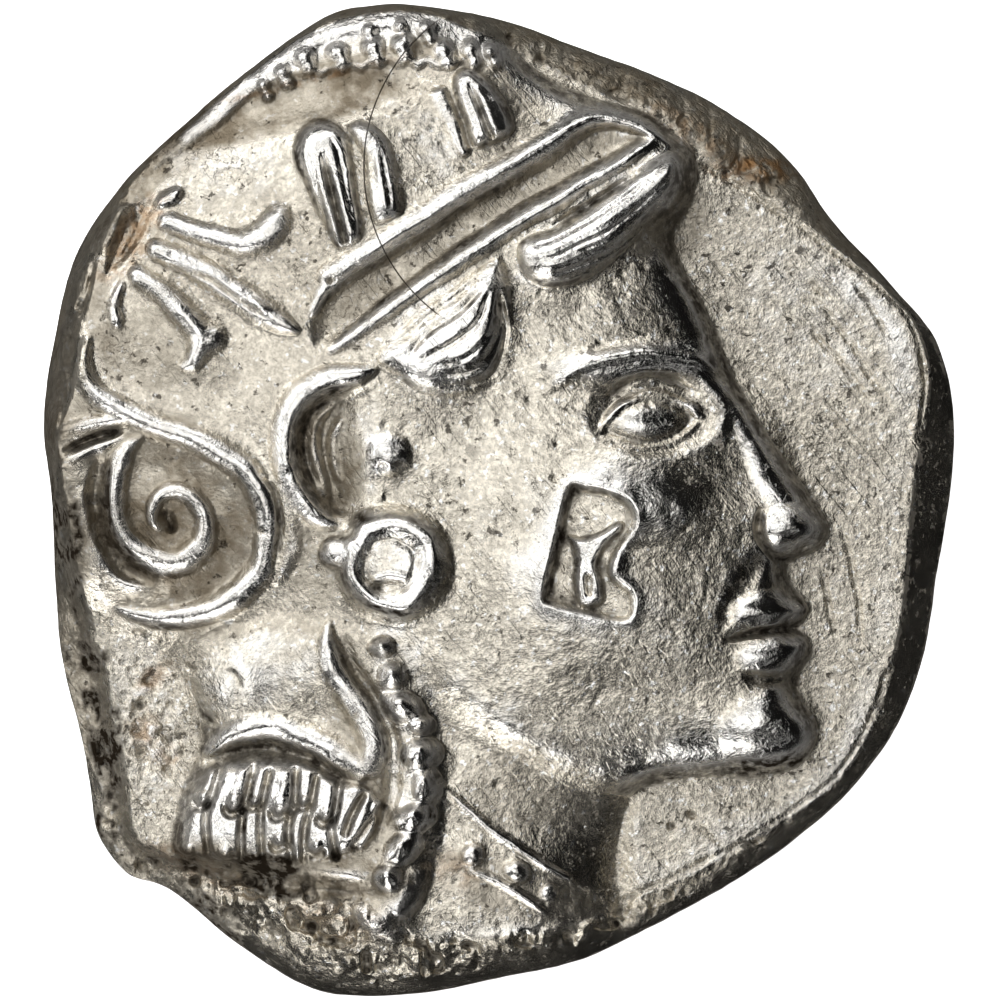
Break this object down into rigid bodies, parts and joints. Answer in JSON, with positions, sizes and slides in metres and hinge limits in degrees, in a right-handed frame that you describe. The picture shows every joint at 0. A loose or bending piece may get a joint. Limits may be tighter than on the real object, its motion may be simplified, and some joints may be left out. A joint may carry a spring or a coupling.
{
  "type": "ancient silver coin",
  "caption": "Thick hand-struck silver coin of irregular outline, a helmeted head in high relief on one face and a standing owl in a sunk square on the other.",
  "frame": {"origin": "middle of the coin's outline box, on the plane that the reverse rests on", "axes": "+Z out of the face with the head, +X the way the head looks, +Y towards the top of the helmet"},
  "size_m": [0.0224, 0.0244, 0.0058],
  "materials": {
    "silver": "worn hand-struck silver, bright on the high places, with warm brown toning in the hollows and on the unstruck edge"
  },
  "bodies": {
    "root": {"coin": "silver"}
  },
  "joints": []
}
